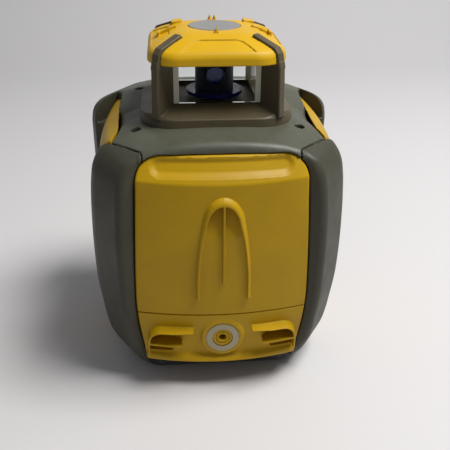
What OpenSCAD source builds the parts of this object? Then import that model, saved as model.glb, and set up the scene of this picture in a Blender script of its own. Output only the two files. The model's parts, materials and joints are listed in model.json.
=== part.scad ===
// Rotating laser level: moulded housing, glazed lighthouse, two-axis gimbal and spinning prism head.
// Millimetres. +Z up, origin under the middle of the base. The control side faces +Y, the back -Y.

/* [Housing] */
// Half width of the rear bumpers at mid height
rear_half_w = 98.5; // [97:0.5:100]
// How much wider the front bumpers are, each side
front_extra = 6; // [5:0.5:7]
// Distance from the centre to the middle of the rear panel
face_y = 98.5; // [98:0.5:99]
// Distance from the centre to the middle of the front panel
front_y = 96; // [95.5:0.5:96.5]
// Radius of the outward curve of the rear and front panels
face_r = 254; // [245:1:265]
// Wall thickness of the moulded panels
wall = 3; // [2.5:0.1:3.5]
// Gap between neighbouring moulded shells
seam = 0.5; // [0.3:0.05:0.8]

/* [Lighthouse] */
// Half width of the flange under the lighthouse, across the device
flange_half_x = 58.5; // [57:0.5:60]
// Half depth of the flange
flange_half_y = 52; // [50:0.5:54]
// Height of the window sill
sill_z = 219.5; // [218:0.5:220]
// Height where the sun cap starts
cap_z = 251.3; // [251:0.1:252]
// Half width of the sun cap
cap_half = 50.5; // [49.5:0.5:51]
// Distance from the centre to the inside of each window
window_in = 30.6; // [30:0.1:31]

/* [Prism head] */
// Height of the gimbal axes
gimbal_z = 186; // [184:0.5:188]
// Radius of the encoder disc
encoder_r = 22; // [20:0.5:23]
// Radius of the prism housing
head_r = 15; // [14:0.5:16]
// Radius of the laser barrel
barrel_r = 24; // [23:0.5:25]

/* [Mounting threads] */
// Wall radius of both 5/8-11 mounting threads
thread_r = 7.95; // [7.9:0.01:8]
// Depth of both mounting threads
thread_len = 15; // [12:0.5:16]
// Height of the rear mounting thread above the floor
rear_thread_z = 50; // [48:0.5:52]

/* [Controls and battery] */
// Travel of the keys
key_travel = 0.8; // [0.5:0.1:1]
// Half width of the battery door
door_half_w = 47; // [46:0.5:48]
// Radius of a D cell
cell_r = 17; // [16.6:0.1:17.1]
// Length of a D cell
cell_len = 61; // [60:0.5:61.5]

/* [Hidden] */
$fn = 48;

yellow = "#D9A514";
olive = "#5C5A4A";
steel = "silver";
big = 400;

// Bumper envelope: height, how far in from the widest point, and half depth there
ENVELOPE = [[5, 21.5, 70], [12, 14.5, 78], [28, 7, 84], [60, 3, 89.5], [100, 0, 92.5], [150, 1, 92.5],
    [182, 4.5, 89], [194, 10, 85], [201, 18.5, 78]];
CREST_IN = 23;
CREST_RUN = 36;
// Half width of the rear and front panels against height
PANEL_EDGE = [[12, 59], [43, 63.5], [80, 67], [140, 65], [180, 63], [187, 61.5], [193, 57], [197, 48]];
// Section of a side panel, outer and inner line: distance from the middle against height
SIDE_OUTER = [[84, 14], [88.2, 45], [91.7, 85], [93, 125], [93, 160], [92.2, 178], [89.5, 188], [85.5, 194.5],
    [78.5, 201]];
SIDE_INNER = [[81, 14], [85.2, 45], [88.7, 85], [90, 125], [90, 160], [89.2, 177], [86.9, 185.5], [83.3, 191.5],
    [78.5, 196]];
front_rise = 1.022;
split_z = 72;
lean = 7;
bevel_z = 176;
panel_top = 197;
rest_y = -101.5;
boss_y = -97;
side_half = 34;
flange_z = 206.5;
flange_h = 6.5;
cover_z = 184;
base_z = 3;
base_top = 13;
screw_x = 61;
screw_y = 45;
leg_x = 46;
leg_y = 42;
strip_w = 4.5;
sight_z = 273.8;
tray_half = 37;
tray_z0 = 29;
tray_z1 = 103;
hinge_x = -(door_half_w + 3.5);
hinge_y = 89.5;
knuckle_z = [37, 75];
lock_x = 41.5;
door_mid_z = 66;
door_z0 = 27.5;
door_z1 = 104.5;
key_z = 124;
key_pitch = 17;
lights_z = 143;
board_y = 80.6;
tray_y = 85.2;
nut_z = 114;
barrel_z = 106;
jack_z = 45;
pin_r = 3;
lever_gap = 1;

function slice(e, inset) = let(w = rear_half_w - e[1] - inset, y = e[2] - inset, wf = w + front_extra) concat(
    [[w - CREST_IN - 10, -y], [w - CREST_IN, -y + 1.5], [w - 2.5, -y + CREST_RUN - 7], [w, -y + CREST_RUN]],
    [[wf, y - CREST_RUN], [wf - 2.5, y - CREST_RUN + 7], [wf - CREST_IN, y - 1.5], [wf - CREST_IN - 10, y]]);

function both_sides(half) = concat(half, [for (i = [len(half) - 1:-1:0]) [-half[i][0], half[i][1]]]);

function face_at(x) = front_y - face_r + sqrt(face_r * face_r - x * x);

module quad(z) {
    for (sx = [-1, 1], sy = [-1, 1]) translate([sx * screw_x, sy * screw_y, z]) children();
}

module legs() {
    for (sx = [-1, 1], sy = [-1, 1]) translate([sx * leg_x, sy * leg_y, 0]) children();
}

// Outer form of the bumpers. Above mid height it is stretched by rise, as the front pair stands higher.
module envelope(inset, rise) {
    hull() for (e = ENVELOPE) translate([0, 0, e[0] * (e[0] > 150 ? rise : 1)])
        linear_extrude(0.1) polygon(both_sides(slice(e, inset)));
}

module slab_y(y0, y1) {
    translate([0, y1, 0]) rotate([90, 0, 0]) linear_extrude(y1 - y0) children();
}

module slab_x(x0, x1) {
    translate([x0, 0, 0]) rotate([90, 0, 90]) linear_extrude(x1 - x0) children();
}

module block(x0, x1, y0, y1, z0, z1) {
    translate([x0, y0, z0]) cube([x1 - x0, y1 - y0, z1 - z0]);
}

module rod_y(x, z, r, y0, y1) {
    translate([x, y1, z]) rotate([90, 0, 0]) cylinder(r = r, h = y1 - y0);
}

module rod_x(y, z, r, x0, x1) {
    translate([x0, y, z]) rotate([0, 90, 0]) cylinder(r = r, h = x1 - x0);
}

module tube(r_out, r_in, z0, z1) {
    difference() {
        translate([0, 0, z0]) cylinder(r = r_out, h = z1 - z0);
        translate([0, 0, z0 - 1]) cylinder(r = r_in, h = z1 - z0 + 2);
    }
}

module panel_outline(z0, z1, grow) {
    pts = [for (p = PANEL_EDGE) [p[0], p[1] + grow]];
    intersection() {
        polygon(both_sides([for (p = pts) [p[1], p[0] + (p[0] > 150 ? grow : 0)]]));
        translate([-big / 2, z0]) square([big, z1 - z0]);
    }
}

// Rear face: a cylinder of radius face_r with a flat bevel along its top edge
module rear_face(inset) {
    intersection() {
        translate([0, face_r - face_y, -20]) cylinder(r = face_r - inset, h = 260, $fn = 180);
        slab_x(-80, 80) translate([1.2 * inset, 0]) polygon([[-face_y - 2, -10], [-face_y - 2, bevel_z - 4],
            [-84.2, panel_top], [-84.2, 240], [-40, 240], [-40, -10]]);
    }
}

// Front face: the same curve, with bevels along its top and bottom edges
module front_face(inset) {
    intersection() {
        translate([0, front_y - face_r, -20]) cylinder(r = face_r - inset, h = 260, $fn = 180);
        slab_x(-80, 80) translate([-1.2 * inset, 0]) polygon([[84.5, -10], [84.5, 12], [front_y + 1, 27],
            [front_y + 1, 185], [84.5, panel_top], [84.5, 240], [40, 240], [40, -10]]);
    }
}

// Leans the lower rear face inwards towards the floor
module leaned() {
    translate([0, -face_y + 1, split_z]) rotate([lean, 0, 0]) translate([0, face_y - 1, -split_z]) children();
}

module bumper(sx, sy) {
    rise = sy > 0 ? front_rise : 1;
    color(olive) mirror([sx < 0 ? 1 : 0, 0, 0]) difference() {
        intersection() {
            envelope(0, rise);
            if (sy > 0) block(40, big, side_half + seam, big, 0, 220);
            else block(40, big, -big, -side_half - seam, 0, 220);
        }
        envelope(4, rise);
        slab_y(-big / 2, big / 2) panel_outline(-5, 205, seam);
        translate([0, 0, cover_z - 1]) linear_extrude(60) polygon(cover_outline(seam));
        translate([0, 0, -1]) linear_extrude(base_top + 1 + seam) polygon(base_outline(seam));
    }
}

function cover_outline(grow) = let(g = grow) both_sides([[57 + g, -85], [58 + g, -77.5 - g / 2],
    [79.5 + g, -53 - g], [77 + g, -side_half], [76 + g, 0], [77 + g, side_half], [81 + g, 53 + g],
    [60 + g, 77.5 + g / 2], [58 + g, 85]]);

function base_outline(grow) = both_sides([[56 + grow, -70 - grow], [70 + grow, -54 - grow],
    [72 + grow, 54 + grow], [57 + grow, 70 + grow]]);

module cover_dome(drop, shrink) {
    hull() for (s = [[cover_z, 1], [200, 1], [205, 0.96], [208, 0.86], [210, 0.7]])
        translate([0, 0, s[0] - drop]) linear_extrude(0.1)
            polygon(both_sides([for (p = cover_corners()) [(p[0] - shrink) * s[1], (p[1] - sign(p[1]) * shrink) * s[1]]]));
}

function cover_corners() = [[57, -84], [79.5, -53], [81, 53], [58, 84]];

module top_cover() {
    color(olive) difference() {
        intersection() {
            cover_dome(0, 0);
            translate([0, 0, cover_z - 1]) linear_extrude(40) polygon(cover_outline(0));
        }
        cover_dome(wall, wall);
        translate([0, 0, flange_z - 0.1]) linear_extrude(20)
            polygon(round_rect(flange_half_x + 0.2, flange_half_y + 0.2, 30, 8));
        block(-big, big, -big, -78, 150, 197.5);
        block(-big, big, 78, big, 150, 197.5);
        for (sx = [-1, 1]) scale([sx, 1, 1]) slab_x(78, 90) polygon([[-side_half, 180], [side_half, 180],
            [side_half, 215], [-side_half, 215]]);
        translate([0, 0, 195]) cylinder(r = 40, h = 30);
        quad(190) cylinder(r = 3.6, h = 30);
    }
    color(olive) quad(190) difference() {
        cylinder(r = 6, h = 14);
        translate([0, 0, -1]) cylinder(r = 2.2, h = 20);
        translate([0, 0, 3]) cylinder(r = 3.6, h = 20);
    }
}

module bumper_rear_left() bumper(-1, -1);
module bumper_rear_right() bumper(1, -1);
module bumper_front_left() bumper(-1, 1);
module bumper_front_right() bumper(1, 1);

// One leg of the M-shaped rest foot: a fin that fades into the panel lower down
module ridge_leg(x_top, x_end, z_top, z_end) {
    slab_y(rest_y, -face_y + 1.5) polygon([[x_top - 3, z_top], [x_top + 3, z_top],
        [x_end + 1.3, z_end], [x_end - 1.3, z_end]]);
}

module rear_panel() {
    color(yellow) {
        intersection() {
            difference() {
                rear_face(0);
                rear_face(wall);
            }
            slab_y(-110, -60) panel_outline(split_z + seam, panel_top, 0);
        }
        intersection() {
            union() {
                ridge_leg(-4, -20, 168, 84);
                ridge_leg(4, 20, 168, 84);
                ridge_leg(0, 0, 164, 97);
                slab_y(rest_y, -face_y + 1.5) polygon([[-12, 158], [-5, 169], [5, 169], [12, 158]]);
            }
            slab_x(-40, 40) polygon([[rest_y, 150], [rest_y + 1, 164], [-face_y + 1.8, 169],
                [-face_y + 1.8, 82], [-face_y, 82]]);
        }
    }
}

// Fins of one rest foot on the lower rear panel
module gill(s) {
    for (z = [[58, 61], [34, 37.5]])
        block(s > 0 ? 21 : -55, s > 0 ? 55 : -21, rest_y, -90, z[0], z[1]);
    block(s > 0 ? 52 : -55, s > 0 ? 55 : -52, rest_y, -88, 36, 60);
    block(s > 0 ? 21 : -48, s > 0 ? 48 : -21, rest_y + 2, -90, 46, 48.5);
}

module rear_lower_panel() {
    color(yellow) difference() {
        union() {
            intersection() {
                leaned() difference() {
                    rear_face(0);
                    rear_face(wall);
                }
                slab_y(-110, -60) panel_outline(14, split_z, 0);
            }
            rod_y(0, rear_thread_z, 17, boss_y, boss_y + 17);
            for (s = [-1, 1]) gill(s);
        }
        rod_y(0, rear_thread_z, 13, boss_y - 1, boss_y + 15);
        rod_y(0, rear_thread_z, 3, boss_y - 2, boss_y + 18);
    }
}

module side_panel(s) {
    color(yellow) mirror([s < 0 ? 1 : 0, 0, 0]) difference() {
        union() {
            slab_y(-side_half, side_half) polygon(concat(SIDE_OUTER,
                [for (i = [len(SIDE_INNER) - 1:-1:0]) SIDE_INNER[i]]));
            if (s < 0) rod_x(0, jack_z, 10, 82, 89.3);
        }
        if (s < 0) rod_x(0, jack_z, 6.2, 70, 95);
        if (s > 0) block(80, 95, 12, 26, 188.5, 191.5);
    }
    if (s < 0) color(yellow) for (z = [jack_z - 8, jack_z + 4.4]) difference() {
        union() {
            translate([-90.9, 12, z]) cylinder(r = 1.9, h = 3.6);
            block(-90, -86, 11, 13.5, z, z + 3.6);
        }
        translate([-90.9, 12, z - 1]) cylinder(r = 0.87, h = 6);
    }
}

module side_panel_left() side_panel(-1);
module side_panel_right() side_panel(1);

function key_x(i) = (i - 2.5) * key_pitch;

module key_hole(i, grow) {
    slab_y(front_y - 14, front_y + 4) translate([key_x(i) - 6 - grow, key_z - 5 - grow])
        square([12 + 2 * grow, 10 + 2 * grow]);
}

module front_panel() {
    color(yellow) difference() {
        union() {
            intersection() {
                difference() {
                    front_face(0);
                    front_face(wall);
                }
                slab_y(60, 110) panel_outline(14, panel_top, 0);
            }
            intersection() {
                front_face(wall - 0.5);
                difference() {
                    block(-door_half_w - 7, door_half_w + 4, 83, 96, door_z0 - 4, door_z1 + 4);
                    block(-door_half_w - seam - 6, door_half_w + seam, 85.5, 97, door_z0 - seam, door_z1 + seam);
                    block(-tray_half - 0.5, tray_half + 0.5, 80, 97, tray_z0 - 0.5, tray_z1 + 0.5);
                    rod_y(lock_x, door_mid_z, 3.9, 80, 98);
                }
            }
        }
        block(hinge_x + 3, door_half_w + seam, 86, 110, door_z0 - seam, door_z1 + seam);
        block(-door_half_w - 7, hinge_x + 3.1, 84, 110, door_z0 - seam, door_z1 + seam);
        for (i = [0:5]) key_hole(i, 0.4);
        block(-34.5, 34.5, 80, 110, 151.5, 180.5);
        for (i = [-1:1]) rod_y(i * 9, lights_z, 2.3, 80, 110);
    }
    color(yellow) for (z = [[29, 36.7], [57.3, 74.7], [95.3, 103]]) difference() {
        union() {
            translate([hinge_x, hinge_y, z[0]]) cylinder(r = 2.7, h = z[1] - z[0]);
            block(-door_half_w - 7.2, hinge_x, hinge_y - 2.7, hinge_y + 0.6, z[0], z[1]);
        }
        translate([hinge_x, hinge_y, z[0] - 1]) cylinder(r = 1.27, h = z[1] - z[0] + 2);
    }
}

module base_plate() {
    color("#3A3A36") difference() {
        union() {
            translate([0, 0, base_z]) linear_extrude(base_top - base_z) polygon(base_outline(0));
            translate([0, 0, base_top]) cylinder(r = 18, h = 7);
        }
        translate([0, 0, base_z - 1]) cylinder(r = 13, h = 30);
        legs() translate([0, 0, base_z - 1]) {
            cylinder(r = 2.2, h = 20);
            cylinder(r = 4, h = 4.5);
        }
    }
}

module tripod_insert() {
    color(steel) difference() {
        translate([0, 0, base_z]) cylinder(r = 12.95, h = thread_len + 3);
        translate([0, 0, base_z - 1]) cylinder(r = thread_r, h = thread_len + 1);
    }
}

module wall_mount_insert() {
    color(steel) difference() {
        rod_y(0, rear_thread_z, 12.95, boss_y - 0.5, boss_y + 15);
        rod_y(0, rear_thread_z, thread_r, boss_y - 2, boss_y - 0.5 + thread_len);
    }
}

module rubber_feet() {
    color("#222222") for (sx = [-1, 1], sy = [-1, 1]) translate([sx * 56, sy * 50, 0]) cylinder(r = 8, h = base_z);
}

module cover_screws() {
    color(steel) quad(0) {
        translate([0, 0, 193.1]) cylinder(r = 3.3, h = 3);
        translate([0, 0, 178]) cylinder(r = 1.95, h = 15.2);
    }
}

module base_screws() {
    color(steel) legs() {
        translate([0, 0, base_z + 1.2]) cylinder(r = 3.6, h = 2.2);
        translate([0, 0, base_z + 3.3]) cylinder(r = 1.95, h = 16);
    }
}

function round_rect(hx, hy, r, steps) = [for (c = [[1, 1, 0], [-1, 1, 90], [-1, -1, 180], [1, -1, 270]],
    k = [0:steps]) [c[0] * (hx - r) + r * cos(c[2] + 90 * k / steps), c[1] * (hy - r) + r * sin(c[2] + 90 * k / steps)]];

// Corner arm in its own vertical plane: up the post and over the cap corner
module corner_arm(grow) {
    slab_y(-3.6 - grow, 3.6 + grow) polygon([[59 - grow, cap_z - 2], [65.5, cap_z - 2], [63, 259], [60, 263 + grow],
        [39.5 - grow, 270 + grow], [38 - grow, 267.4 - grow], [57 - grow, 260]]);
}

module lighthouse_frame() {
    color(olive) difference() {
        union() {
            translate([0, 0, flange_z]) linear_extrude(flange_h)
                polygon(round_rect(flange_half_x, flange_half_y, 30, 8));
            hull() {
                translate([0, 0, flange_z + flange_h - 0.1]) linear_extrude(0.1) polygon(round_rect(54, 49, 20, 8));
                translate([0, 0, sill_z]) linear_extrude(0.1) polygon(round_rect(35, 35, 4, 8));
            }
            for (a = [45:90:315]) rotate(a) {
                slab_y(-3.6, 3.6) polygon([[47, 212], [67.5, 212], [65.5, cap_z - 2], [47, cap_z - 2]]);
                corner_arm(0);
            }
        }
        block(-window_in, window_in, -window_in, window_in, 216.2, 225);
        translate([0, 0, 200]) linear_extrude(14) polygon(round_rect(40, 38, 10, 8));
        translate([0, 0, 190]) cylinder(r = 14, h = 40);
    }
}

module cap_solid(shrink, drop) {
    hull() {
        for (s = [[cap_z, 1, 1], [259.5, 0, 4], [262.5, 3, 8], [267.6, 20, 12], [268.8, 27, 14]])
            translate([0, 0, s[0] - drop]) linear_extrude(0.1)
                polygon(round_rect(cap_half - s[1] - shrink, cap_half - s[1] - shrink, max(3, 22 - s[2] - shrink), 6));
    }
}

module sun_cap() {
    color(yellow) difference() {
        union() {
            difference() {
                cap_solid(0, 0);
                cap_solid(2.5, 2.5);
            }
            block(-1.6, 1.6, -27, -21, 267, sight_z - 0.8);
            for (s = [-1, 1]) {
                translate([s * 2.4, 0, 0]) block(-1.7, 1.7, 24, 28, 267, sight_z);
                block(s * 37 - 1.5, s * 37 + 1.5, -7, 7, 264, 267.6);
            }
        }
        for (a = [45:90:315]) rotate(a) corner_arm(0.35);
        translate([0, 0, 267.8]) cylinder(r = 20.2, h = 6);
    }
}

module cap_disc() {
    color("#9A9A96") translate([0, 0, 267.8]) cylinder(r = 19.8, h = 3);
}

module pane(a) {
    color("#BBD0C0", 0.4) rotate(a) block(-window_in + 2.2, window_in - 2.2, -window_in - 2, -window_in, 219.8, cap_z - 0.6);
}

module window_rear() pane(0);
module window_right() pane(90);
module window_front() pane(180);
module window_left() pane(270);

module window_strips() {
    color("#E8E4CC") for (sx = [-1, 1], sy = [-1, 1])
        translate([sx * (window_in + 0.1), sy * (window_in + 0.1), 219.8])
            translate([-strip_w / 2, -strip_w / 2, 0]) cube([strip_w, strip_w, cap_z - 0.6 - 219.8]);
}

module chassis() {
    color("#8C8F93") difference() {
        union() {
            translate([0, 0, 168]) linear_extrude(6) polygon([[-68, -40], [-54, -56], [54, -56], [68, -40],
                [68, 40], [54, 56], [-54, 56], [-68, 40]]);
            quad(174) cylinder(r = 5, h = 16);
            for (s = [-1, 1]) block(s > 0 ? 44 : -50, s > 0 ? 50 : -44, -8, 8, 174, 192);
            for (sx = [-1, 1], sy = [-1, 1]) block(sx * leg_x - 4.5, sx * leg_x + 4.5, sy * leg_y - 4.5, sy * leg_y + 4.5, base_top, 168);
            block(53, 55, -10, 10, 98, 168);
            block(-10, 10, -55, -53, 98, 168);
        }
        translate([0, 0, 160]) cylinder(r = 43, h = 20);
        for (s = [-1, 1]) rod_x(0, gimbal_z, pin_r + 0.06, s > 0 ? 40 : -60, s > 0 ? 60 : -40);
        quad(160) cylinder(r = 2.1, h = 40);
        legs() cylinder(r = 2.1, h = 24);
        rod_x(0, nut_z, 2.4, 50, 60);
        rod_y(0, nut_z, 2.4, -60, -50);
    }
}

module main_board() {
    color("#1F6B3A") {
        block(-44, 44, -80, -78.4, 92, 164);
        block(-16, 16, -82, -80, 118, 148);
        block(22, 34, -84, -80, 100, 110);
        block(-36, -28, -86, -80, 96, 112);
    }
}

module key_board() {
    color("#1F6B3A") block(-54, 54, board_y - 1.6, board_y, 109, 147);
}

module display_module() {
    color("#B8C4B0") block(-33.5, 33.5, 81, 87, 152, 180);
}

module display_window() {
    color("#26303A", 0.8) block(-36.5, 36.5, 87.6, 89.8, 149.5, 182.5);
}

module status_lights() {
    color("#C33A2A") for (i = [-1:1]) rod_y(i * 9, lights_z, 2.15, 83, face_at(9) + 0.6);
}

module battery_tray() {
    color("#2B2B2B") difference() {
        block(-tray_half, tray_half, 20, tray_y, tray_z0, tray_z1);
        block(-tray_half + 1.3, tray_half - 1.3, 21.6, tray_y + 1, tray_z0 + 1.3, tray_z1 - 1.3);
    }
}

module cell_places() {
    for (sx = [-1, 1], sz = [-1, 1]) translate([sx * 17.6, 0, (tray_z0 + tray_z1) / 2 + sz * 17.6]) children();
}

module battery_cells() {
    color("#7A7F86") cell_places() {
        rod_y(0, 0, cell_r, tray_y - 1.3 - cell_len, tray_y - 2.8);
        rod_y(0, 0, 4.5, tray_y - 2.8, tray_y - 1.3);
    }
}

// Spring contacts at the closed end of the compartment
module contact_springs() {
    color(steel) cell_places() rod_y(0, 0, 5, 21.6, tray_y - 1.3 - cell_len);
}

module charge_jack() {
    color("#1B1B1B") mirror([1, 0, 0]) {
        difference() {
            rod_x(0, jack_z, 6, 76, 89);
            rod_x(0, jack_z, 3, 79, 90);
        }
        rod_x(0, jack_z, 1, 78.5, 87);
    }
}

module hinge_pin() {
    color(steel) translate([hinge_x, hinge_y, 29]) cylinder(r = 1.25, h = 74);
}

module level_motors() {
    color("#3D4147") {
        rod_x(0, nut_z, 9, 57, 74);
        rod_y(0, nut_z, 9, -74, -57);
        rod_x(0, nut_z, 4, 55, 57);
        rod_y(0, nut_z, 4, -57, -55);
    }
}

module battery_door() {
    color(yellow) difference() {
        union() {
            intersection() {
                difference() {
                    front_face(0);
                    front_face(wall);
                }
                slab_y(80, 110) translate([-door_half_w, door_z0]) square([2 * door_half_w, door_z1 - door_z0]);
            }
            for (z = knuckle_z) {
                translate([hinge_x, hinge_y, z]) cylinder(r = 2.7, h = 20);
                block(hinge_x, -door_half_w + 3, hinge_y - 0.2, hinge_y + 2.7, z, z + 20);
            }
        }
        for (z = knuckle_z) translate([hinge_x, hinge_y, z - 1]) cylinder(r = 1.33, h = 22);
        rod_y(lock_x, door_mid_z, 3.3, 80, 110);
    }
}

module door_lock() {
    color(olive) {
        rod_y(lock_x, door_mid_z, 3, 83.5, 94.5);
        rod_y(lock_x, door_mid_z, 8, 94.2, 97);
        block(lock_x - 1.8, lock_x + 1.8, 96, -rest_y, door_mid_z - 7, door_mid_z + 7);
    }
}

module jack_cap() {
    color("#262626") mirror([1, 0, 0]) {
        rod_x(0, jack_z, 8, 89.7, 91.8);
        block(89.9, 91.6, 6, 12, jack_z - 3.6, jack_z + 3.6);
        translate([90.9, 12, jack_z - 4]) cylinder(r = 1.7, h = 8);
        translate([90.9, 12, jack_z - 7.8]) cylinder(r = 0.8, h = 15.6);
    }
}

// Key i counts from the left: cap through the panel, flange behind it, stem over its switch
module key(i) {
    face = face_at(key_x(i) + sign(key_x(i)) * 6) + 1.4;
    color("#33342E") {
        intersection() {
            key_hole(i, 0);
            block(-90, 90, 84, face, 100, 150);
        }
        block(key_x(i) - 7.2, key_x(i) + 7.2, 84, face - wall - 3.3, key_z - 6.4, key_z + 6.4);
        rod_y(key_x(i), key_z, 2, board_y + key_travel + 0.3, 85);
    }
}

module key_power() key(0);
module key_left() key(1);
module key_up() key(2);
module key_down() key(3);
module key_right() key(4);
module key_mode() key(5);

module gimbal_ring() {
    color("#A8ABAF") difference() {
        union() {
            tube(40, 33, gimbal_z - 5, gimbal_z + 5);
            for (s = [-1, 1]) rod_x(0, gimbal_z, pin_r, s > 0 ? 39 : -49, s > 0 ? 49 : -39);
        }
        rod_y(0, gimbal_z, pin_r + 0.06, -50, 50);
    }
}

module laser_barrel() {
    color("#6F757C") difference() {
        union() {
            translate([0, 0, barrel_z]) cylinder(r = barrel_r, h = 208 - barrel_z);
            for (s = [-1, 1]) rod_y(0, gimbal_z, pin_r, s > 0 ? barrel_r - 2 : -39, s > 0 ? 39 : -barrel_r + 2);
            block(16, 27, -12, 12, nut_z - 8, nut_z + 8);
            block(-12, 12, -27, -16, nut_z - 8, nut_z + 8);
        }
        translate([0, 0, barrel_z + 3]) cylinder(r = 20, h = 187 - barrel_z - 3);
        translate([0, 0, 180]) cylinder(r = 14, h = 40);
    }
}

module laser_module() {
    color("#B08D3C") {
        translate([0, 0, barrel_z + 3]) cylinder(r = 14, h = 38);
        translate([0, 0, barrel_z + 3]) cylinder(r = 19.9, h = 6);
    }
}

module collimator_lens() {
    color("#A9C6D8", 0.5) {
        translate([0, 0, 152]) cylinder(r = 19.9, h = 4);
    }
}

module motor_stator() {
    color("#A5552A") tube(19.9, 13.9, 171, 186);
}

module rotor_bearings() {
    color(steel) {
        tube(13.97, 8.06, 189, 195);
        tube(13.97, 8.06, 201, 207);
    }
}

module level_sensors() {
    color("#9FBF4A") {
        block(-14, 14, barrel_r + 0.1, barrel_r + 7, 140, 149);
        block(-barrel_r - 7, -barrel_r - 0.1, -14, 14, 140, 149);
    }
}

module rotor_spindle() {
    color(steel) {
        tube(8, 5, 172, 219.5);
        tube(13, 7.9, 172, 185);
    }
}

module encoder_disc() {
    color("#10142E") tube(encoder_r, 5, 219.5, 222);
}

module rotor_housing() {
    color("#14161F") difference() {
        translate([0, 0, 222]) cylinder(r = head_r, h = 27);
        block(-9, 9, -9, 9, 224, 246);
        translate([0, 0, 221]) cylinder(r = 5, h = 5);
        rod_y(0, 235, 7, -20, 0);
    }
}

// Five-sided prism that turns the beam through a right angle
module pentaprism() {
    color("#8FB7E8", 0.6) slab_x(-8, 8) polygon([[-8, 226], [8, 226], [8, 238], [4, 244], [-8, 242]]);
}

module level_nut_x() {
    color("#C9A24A") difference() {
        block(27 + lever_gap, 46, -6, 6, nut_z - 4, nut_z + 4);
        rod_x(0, nut_z, 2.06, 30, 50);
    }
}

module level_nut_y() {
    color("#C9A24A") difference() {
        block(-6, 6, -46, -27 - lever_gap, nut_z - 4, nut_z + 4);
        rod_y(0, nut_z, 2.06, -50, -30);
    }
}

module level_screw_x() {
    color(steel) rod_x(0, nut_z, 2, 37.5, 54.9);
}

module level_screw_y() {
    color(steel) rod_y(0, nut_z, 2, -54.9, -37.5);
}

top_cover();
bumper_rear_left();
bumper_rear_right();
bumper_front_left();
bumper_front_right();
rear_panel();
rear_lower_panel();
side_panel_left();
side_panel_right();
front_panel();
base_plate();
tripod_insert();
wall_mount_insert();
rubber_feet();
cover_screws();
base_screws();
lighthouse_frame();
sun_cap();
cap_disc();
window_rear();
window_front();
window_left();
window_right();
window_strips();
chassis();
main_board();
key_board();
display_module();
display_window();
status_lights();
battery_tray();
battery_cells();
contact_springs();
charge_jack();
hinge_pin();
level_motors();
battery_door();
door_lock();
jack_cap();
key_power();
key_mode();
key_left();
key_right();
key_up();
key_down();
gimbal_ring();
laser_barrel();
laser_module();
collimator_lens();
motor_stator();
rotor_bearings();
level_sensors();
rotor_spindle();
rotor_housing();
pentaprism();
encoder_disc();
level_nut_x();
level_nut_y();
level_screw_x();
level_screw_y();
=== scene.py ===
"""Looks of a rotating laser level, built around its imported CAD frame.

Moulded parts are rounded solids, written as distance fields in millimetres and meshed here.
A field is negative inside the part. Bare numbers in a field are the part's own lengths, heights
and edge radii in millimetres; those that parts share are named below. Machined and electrical
parts keep their CAD meshes and only get a material.
"""
import json
import math

import bpy
import numpy as np
from mathutils import Matrix, Vector


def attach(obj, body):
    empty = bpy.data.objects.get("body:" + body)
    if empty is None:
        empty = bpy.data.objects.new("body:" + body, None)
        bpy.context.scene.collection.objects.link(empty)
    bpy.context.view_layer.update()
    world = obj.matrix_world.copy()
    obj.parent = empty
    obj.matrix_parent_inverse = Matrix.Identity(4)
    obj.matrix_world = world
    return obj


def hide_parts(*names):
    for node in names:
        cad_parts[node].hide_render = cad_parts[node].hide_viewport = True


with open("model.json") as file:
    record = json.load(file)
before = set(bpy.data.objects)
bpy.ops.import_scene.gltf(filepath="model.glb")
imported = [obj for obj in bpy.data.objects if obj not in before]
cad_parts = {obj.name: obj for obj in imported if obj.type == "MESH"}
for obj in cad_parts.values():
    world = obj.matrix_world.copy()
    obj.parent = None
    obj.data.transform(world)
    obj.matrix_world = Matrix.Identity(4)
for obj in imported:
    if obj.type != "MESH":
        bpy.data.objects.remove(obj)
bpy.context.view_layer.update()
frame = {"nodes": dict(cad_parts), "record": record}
MM = 0.001

# ---------------------------------------------------------------- driving sizes, in millimetres
GAP = 0.3              # half of the seam between two moulded parts
WALL = 3.0             # wall thickness of the moulded parts
CREST_IN = 23.0        # from a bumper's widest point in to its crest
SIDE_HALF = 34.0       # half width of a side panel
PANEL_TOP = 198.3      # top edge of the rear and front panels
SPLIT_Z = 72.0         # seam between the upper and lower rear panels
REST_Y = 101.5         # plane that the rests on the rear face reach
THREAD_Z = 50.0        # height of the rear mounting thread
FLANGE = (58.5, 52.0)  # half sizes of the lighthouse flange
FLANGE_TOP = 213.0
SILL_Z = 219.5         # bottom of the windows
CAP_Z = 251.3          # lower edge of the sun cap
CAP_HALF = 51.0        # half width of the sun cap
FRONT_Y = 96.0         # the control side at its middle
SCREWS = (61.0, 45.0)  # where the cover screws are
SIGHT_Z = 273.8        # tips of the sights, the highest points
INSERT_R = 12.95       # outer radius of the steel insert in the rear boss
JACK_Z = 45.0          # height of the charging socket
FLAP_PIN = (90.9, 12.0)  # hinge pin of the socket's cap, in x and y
RIDGE_FOOT = 88.0      # lower end of the rest ridge's legs


# ---------------------------------------------------------------- field tools
def rmax(a, b, r):
    """Overlap of two solids, with its outer edge rounded to radius r."""
    return np.minimum(np.maximum(a, b), -r) + np.hypot(np.maximum(a + r, 0), np.maximum(b + r, 0))


def rmin(a, b, r):
    """Union of two solids, with its inner corner filled to radius r."""
    return -rmax(-a, -b, r)


def step(lo, hi, t):
    """Smooth step from 0 at lo to 1 at hi."""
    s = np.clip((t - lo) / (hi - lo), 0, 1)
    return s * s * (3 - 2 * s)


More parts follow.
